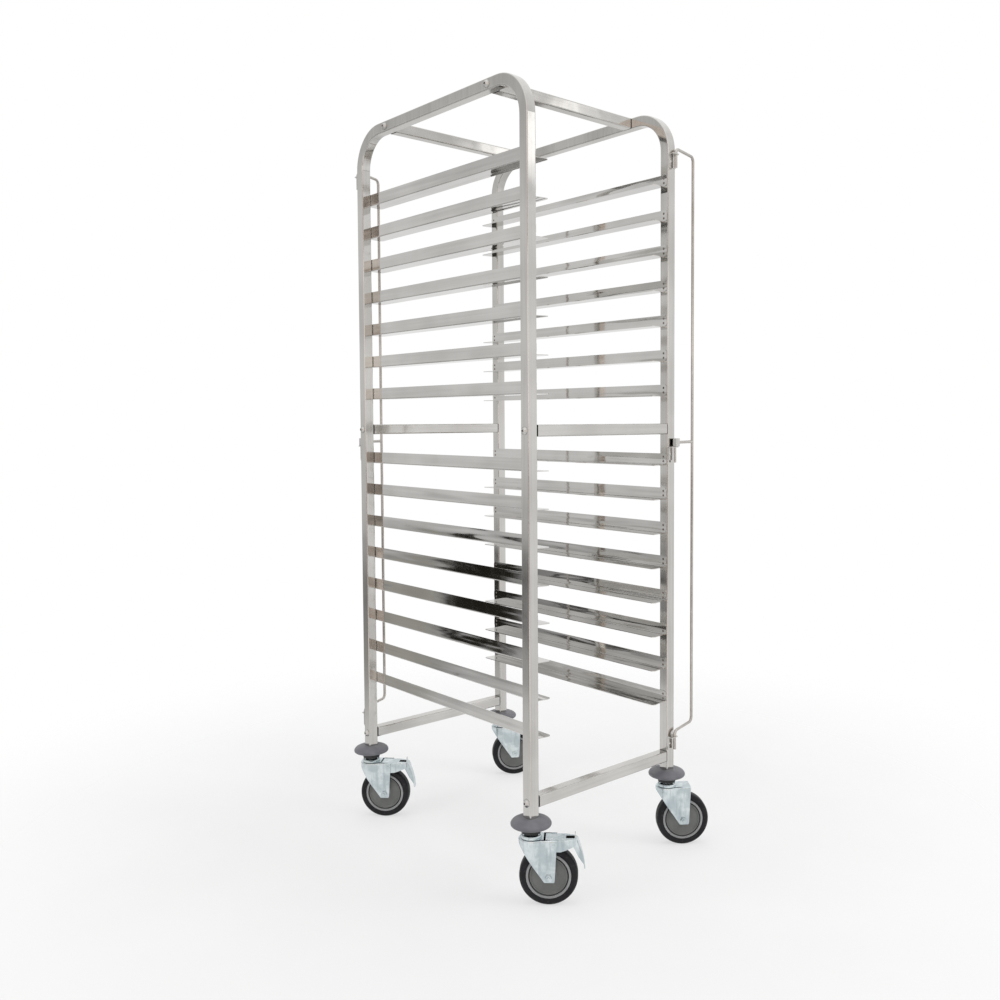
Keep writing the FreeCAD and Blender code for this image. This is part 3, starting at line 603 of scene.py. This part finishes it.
def studio_side(graph, direction, rise, height):
    """Darker side of the studio with black and grey patches, mirrored by faces turned to the left."""
    ripple = graph.noise(graph.stretched(direction, (30, 30, 60)))
    sway = graph.math("SUBTRACT", ripple, 0.5)
    across = graph.math("ADD", graph.dot(direction, ALONG_SIDE), graph.product(sway, 0.06))
    sunk = graph.math("ADD", rise, graph.product(sway, 0.1))

    def patch(low, high, under, over):
        """1 between two places along the side and two heights, all as cosines."""
        return graph.product(graph.between(across, low, high, 0.01),
                             graph.between(sunk, under, over, 0.01))

    dark = rgb(0.01, 0.009, 0.007)
    side = graph.ramp(height, SIDE_LEVELS)
    side = graph.mix(patch(-0.052, 0.034, -0.235, -0.125), side, dark)
    side = graph.mix(patch(-0.12, -0.05, -0.29, -0.13), side, rgb(0.21, 0.205, 0.19))
    strips = graph.noise(graph.stretched(direction, (9, 9, 46)), roughness=0.55, distortion=0.5)
    broken = graph.product(graph.spread(strips, 0.48, 0.51), patch(0.055, 0.3, -0.36, -0.13), 0.9)
    return graph.mix(broken, side, dark)


def studio_window(graph, direction, rise):
    """Share of the bright window high in front, mirrored by faces turned to the front."""
    return graph.product(
        graph.between(graph.dot(direction, ALONG_WINDOW), -0.06, 0.06, 0.02),
        graph.spread(rise, 0.225, 0.255), graph.spread(rise, 0.308, 0.300),
        lobe(graph, direction, WINDOW_WAY, 0.9, 0.8))


def studio_room(graph, direction, height):
    """Dark, warm and bright columns of the room on the left in front, mirrored at the back and right."""
    columns = graph.noise(graph.stretched(direction, (26, 26, 12)), roughness=0.6)
    columns = graph.math("ADD", columns, graph.ramp(height, COLUMN_LEVELS))
    columns = graph.math("SUBTRACT", columns, 0.5)
    room = graph.mix(graph.spread(columns, 0.38, 0.44), rgb(0.075, 0.06, 0.052), rgb(0.28, 0.26, 0.24))
    room = graph.mix(graph.spread(columns, 0.49, 0.53), room, rgb(0.50, 0.39, 0.335))
    return graph.mix(graph.spread(columns, 0.54, 0.60), room, rgb(0.64, 0.61, 0.59))


def build_world():
    """White for the camera; the metal also sees a studio with darker sides and shapes in it."""
    world = bpy.data.worlds.new("studio")
    bpy.context.scene.world = world
    world.use_nodes = True
    graph = Graph(world.node_tree)
    direction = graph.coordinates("Generated")
    rise = graph.add("SeparateXYZ", None, Vector=direction).outputs["Z"]
    height = graph.add("Math", {"operation": "MULTIPLY_ADD"}, in_0=rise, in_1=0.5, in_2=0.5).outputs[0]

    seen = graph.ramp(height, OPEN_LEVELS)
    side = studio_side(graph, direction, rise, height)
    seen = graph.mix(lobe(graph, direction, SIDE_WAY, 0.85, 0.3), seen, side)
    front = graph.ramp(height, FRONT_LEVELS)
    seen = graph.mix(lobe(graph, direction, FRONT_WAY, 0.9, 0.45), seen, front)
    seen = graph.mix(studio_window(graph, direction, rise), seen, rgb(0.9, 0.9, 0.9))
    room = studio_room(graph, direction, height)
    seen = graph.mix(lobe(graph, direction, ROOM_WAY, 0.93, 0.72), seen, room)

    path = graph.add("LightPath")
    metal = graph.add("Background", None, Color=seen, Strength=METAL_STRENGTH)
    plain = graph.add("Background", None, Color=rgb(0.9, 0.9, 0.9), Strength=PLAIN_STRENGTH)
    white = graph.add("Background", None, Color=rgb(1.0, 1.0, 1.0), Strength=1.0)
    clear = graph.math("MAXIMUM", path.outputs["Is Camera Ray"], path.outputs["Is Transmission Ray"])
    lit = graph.blended(path.outputs["Is Glossy Ray"], plain, metal)
    graph.finish(graph.blended(clear, lit, white), "OutputWorld")


def build_floor():
    """Pale floor that keeps the shadow and fades into the white background."""
    made, graph = material("floor_pale")
    place = graph.coordinates("Object")
    away = graph.add("VectorMath", {"operation": "LENGTH"}, in_0=place).outputs["Value"]
    mottle = graph.noise(place, scale=3.0, detail=3.0)
    colour = graph.mix(graph.spread(mottle, 0.3, 0.7), rgb(0.86, 0.86, 0.86), rgb(0.9, 0.9, 0.9))
    body = graph.add("BsdfDiffuse", None, Color=colour)
    glow = graph.add("Emission", None, Color=rgb(1.0, 1.0, 1.0), Strength=1.0)
    path = graph.add("LightPath")
    shown = graph.math("MAXIMUM", path.outputs["Is Camera Ray"], path.outputs["Is Transmission Ray"])
    shown = graph.math("MAXIMUM", shown, path.outputs["Is Glossy Ray"])
    lit = graph.blended(graph.product(shown, FLOOR_GLOW), body, glow)
    graph.finish(graph.blended(graph.spread(away, *FLOOR_FADE), lit, graph.add("BsdfTransparent")))
    mesh = bmesh.new()
    bmesh.ops.create_circle(mesh, cap_ends=True, segments=FLOOR_SEGMENTS, radius=FLOOR_RADIUS)
    floor = finished("floor", mesh)
    floor.data.materials.append(made)


def area_lamp(name, place, target, size, power):
    """Soft lamp of a width and height in metres, aimed at a target, that no metal mirrors."""
    lamp = bpy.data.lights.new(name, "AREA")
    lamp.shape = "RECTANGLE"
    lamp.size, lamp.size_y = size
    lamp.energy = power
    made = bpy.data.objects.new(name, lamp)
    made.location = place
    made.rotation_euler = (Vector(target) - Vector(place)).to_track_quat("-Z", "Y").to_euler()
    made.visible_glossy = False
    bpy.context.scene.collection.objects.link(made)


def build_lamps():
    area_lamp("key", (1.6, -2.6, 2.6), (0, 0, 0.9), (1.6, 1.8), 34.0)
    area_lamp("fill", (-2.8, 0.8, 2.2), (0, 0, 0.9), (1.8, 1.8), 16.0)
    area_lamp("top", (0.2, 0.2, 3.4), (0, 0, 0.8), (2.2, 2.2), 26.0)


def build_camera():
    """Camera at the photograph's viewing angle."""
    data = bpy.data.cameras.new("photo_view")
    data.lens = CAMERA_LENS
    data.sensor_width = CAMERA_SENSOR
    data.shift_x, data.shift_y = CAMERA_SHIFT
    data.clip_start, data.clip_end = CAMERA_REACH
    camera = bpy.data.objects.new("photo_view", data)
    camera.location = CAMERA_PLACE
    camera.rotation_euler = [math.radians(turn) for turn in CAMERA_TURN]
    bpy.context.scene.collection.objects.link(camera)
    bpy.context.scene.camera = camera


build_camera()
build_world()
build_floor()
build_lamps()
paint_nodes()
for castor_name in BRAKED:
    paint_pedal(castor_name)
for castor_name in CASTORS:
    build_tyre(castor_name)
    build_core(castor_name)
    build_bumper(castor_name)
build_bolts()
build_spot_welds()
bpy.context.scene.view_settings.view_transform = "Standard"
